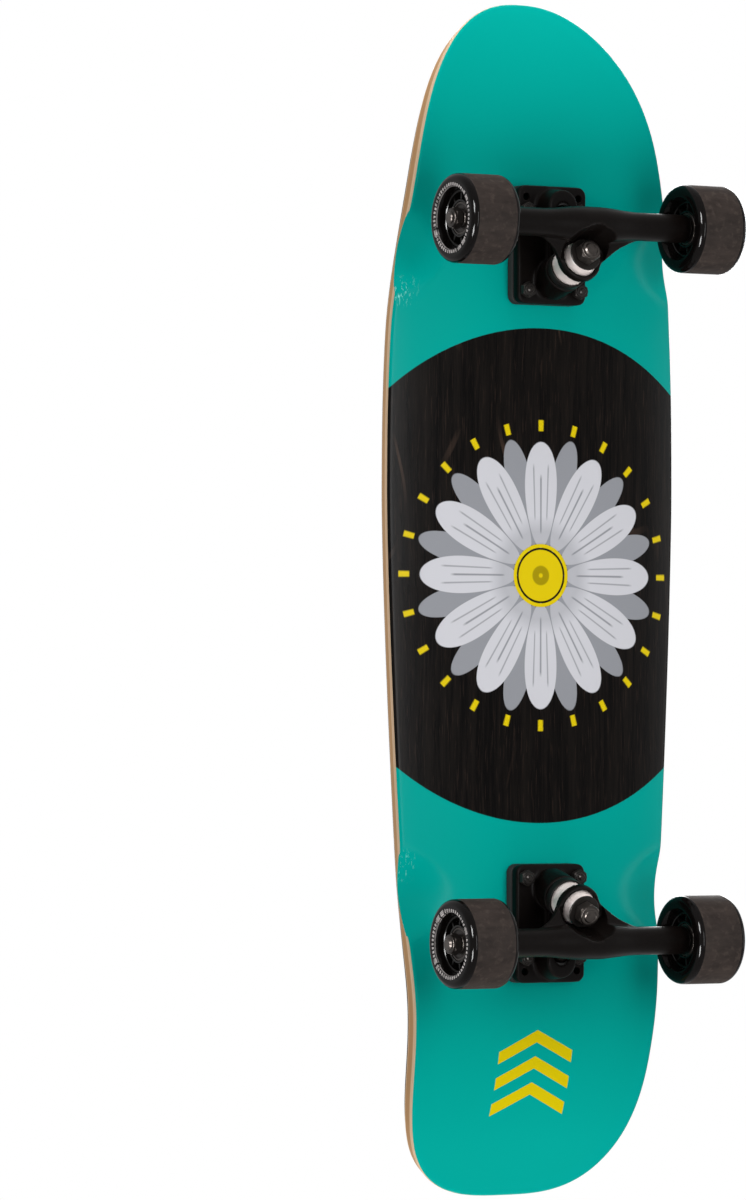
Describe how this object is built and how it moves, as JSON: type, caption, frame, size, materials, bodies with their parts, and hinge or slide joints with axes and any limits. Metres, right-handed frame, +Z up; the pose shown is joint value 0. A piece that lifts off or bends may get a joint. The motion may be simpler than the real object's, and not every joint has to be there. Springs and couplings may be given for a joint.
{
  "type": "longboard",
  "caption": "Complete longboard: kicktail deck with wheel wells and grip tape, sprung steering trucks on riser pads, and soft wheels that spin on sealed bearings.",
  "frame": {"origin": "on the ground under the middle of the board's length and width, wheels at z = 0", "axes": "+X towards the rounded nose, +Y to the rider's left when facing the nose, +Z up"},
  "size_m": [0.8188, 0.2282, 0.1512],
  "materials": {
    "teal_lacquered_maple": "clear-coated teal stain below; bare maple plies show at the rail",
    "grip_grit": "coarse black grit on a thin backing",
    "black_cast": "satin black paint on cast aluminium",
    "dark_steel": "dark plated steel",
    "black_steel": "black oxide",
    "white_urethane": "smooth off-white urethane",
    "black_rubber": "dull black rubber",
    "black_wheel_urethane": "ground tread, glossy side walls",
    "black_core_plastic": "moulded, smooth",
    "bearing_shield": "black shields and bright races"
  },
  "bodies": {
    "board": {"deck": "teal_lacquered_maple", "grip_tape": "grip_grit", "front_riser_pad": "black_rubber", "front_baseplate": "black_cast", "front_kingpin": "dark_steel", "front_kingpin_nut": "dark_steel", "front_roadside_washer": "black_steel", "front_boardside_washer": "black_steel", "front_roadside_bushing": "white_urethane", "front_boardside_bushing": "white_urethane", "front_pivot_cup": "black_rubber", "front_mounting_bolt_1": "black_steel", "front_mounting_bolt_2": "black_steel", "front_mounting_bolt_3": "black_steel", "front_mounting_bolt_4": "black_steel", "front_mounting_nut_1": "black_steel", "front_mounting_nut_2": "black_steel", "front_mounting_nut_3": "black_steel", "front_mounting_nut_4": "black_steel", "rear_riser_pad": "black_rubber", "rear_baseplate": "black_cast", "rear_kingpin": "dark_steel", "rear_kingpin_nut": "dark_steel", "rear_roadside_washer": "black_steel", "rear_boardside_washer": "black_steel", "rear_roadside_bushing": "white_urethane", "rear_boardside_bushing": "white_urethane", "rear_pivot_cup": "black_rubber", "rear_mounting_bolt_1": "black_steel", "rear_mounting_bolt_2": "black_steel", "rear_mounting_bolt_3": "black_steel", "rear_mounting_bolt_4": "black_steel", "rear_mounting_nut_1": "black_steel", "rear_mounting_nut_2": "black_steel", "rear_mounting_nut_3": "black_steel", "rear_mounting_nut_4": "black_steel"},
    "front_hanger": {"front_hanger": "black_cast", "front_axle": "dark_steel", "front_left_axle_nut": "dark_steel", "front_right_axle_nut": "dark_steel"},
    "front_left_wheel": {"front_left_tyre": "black_wheel_urethane", "front_left_core": "black_core_plastic", "front_left_inner_bearing": "bearing_shield", "front_left_outer_bearing": "bearing_shield"},
    "front_right_wheel": {"front_right_tyre": "black_wheel_urethane", "front_right_core": "black_core_plastic", "front_right_inner_bearing": "bearing_shield", "front_right_outer_bearing": "bearing_shield"},
    "rear_hanger": {"rear_hanger": "black_cast", "rear_axle": "dark_steel", "rear_left_axle_nut": "dark_steel", "rear_right_axle_nut": "dark_steel"},
    "rear_left_wheel": {"rear_left_tyre": "black_wheel_urethane", "rear_left_core": "black_core_plastic", "rear_left_inner_bearing": "bearing_shield", "rear_left_outer_bearing": "bearing_shield"},
    "rear_right_wheel": {"rear_right_tyre": "black_wheel_urethane", "rear_right_core": "black_core_plastic", "rear_right_inner_bearing": "bearing_shield", "rear_right_outer_bearing": "bearing_shield"}
  },
  "joints": [
    {"name": "front_steer", "type": "hinge", "parent": "board", "child": "front_hanger", "pos_m": [0.2662, 0, 0.072], "axis": [0.8032, 0, 0.5956], "range_deg": [-15, 15], "stiffness_Nm_per_rad": 40, "deforming": ["front_roadside_bushing", "front_boardside_bushing"]},
    {"name": "front_left_wheel_spin", "type": "hinge", "parent": "front_hanger", "child": "front_left_wheel", "pos_m": [0.2517, 0.0891, 0.03], "axis": [0, 1, 0], "continuous": true},
    {"name": "front_right_wheel_spin", "type": "hinge", "parent": "front_hanger", "child": "front_right_wheel", "pos_m": [0.2517, -0.0891, 0.03], "axis": [0, 1, 0], "continuous": true},
    {"name": "rear_steer", "type": "hinge", "parent": "board", "child": "rear_hanger", "pos_m": [-0.2456, 0, 0.072], "axis": [-0.8032, 0, 0.5956], "range_deg": [-15, 15], "stiffness_Nm_per_rad": 40, "deforming": ["rear_roadside_bushing", "rear_boardside_bushing"]},
    {"name": "rear_left_wheel_spin", "type": "hinge", "parent": "rear_hanger", "child": "rear_left_wheel", "pos_m": [-0.2311, 0.0891, 0.03], "axis": [0, 1, 0], "continuous": true},
    {"name": "rear_right_wheel_spin", "type": "hinge", "parent": "rear_hanger", "child": "rear_right_wheel", "pos_m": [-0.2311, -0.0891, 0.03], "axis": [0, 1, 0], "continuous": true}
  ]
}
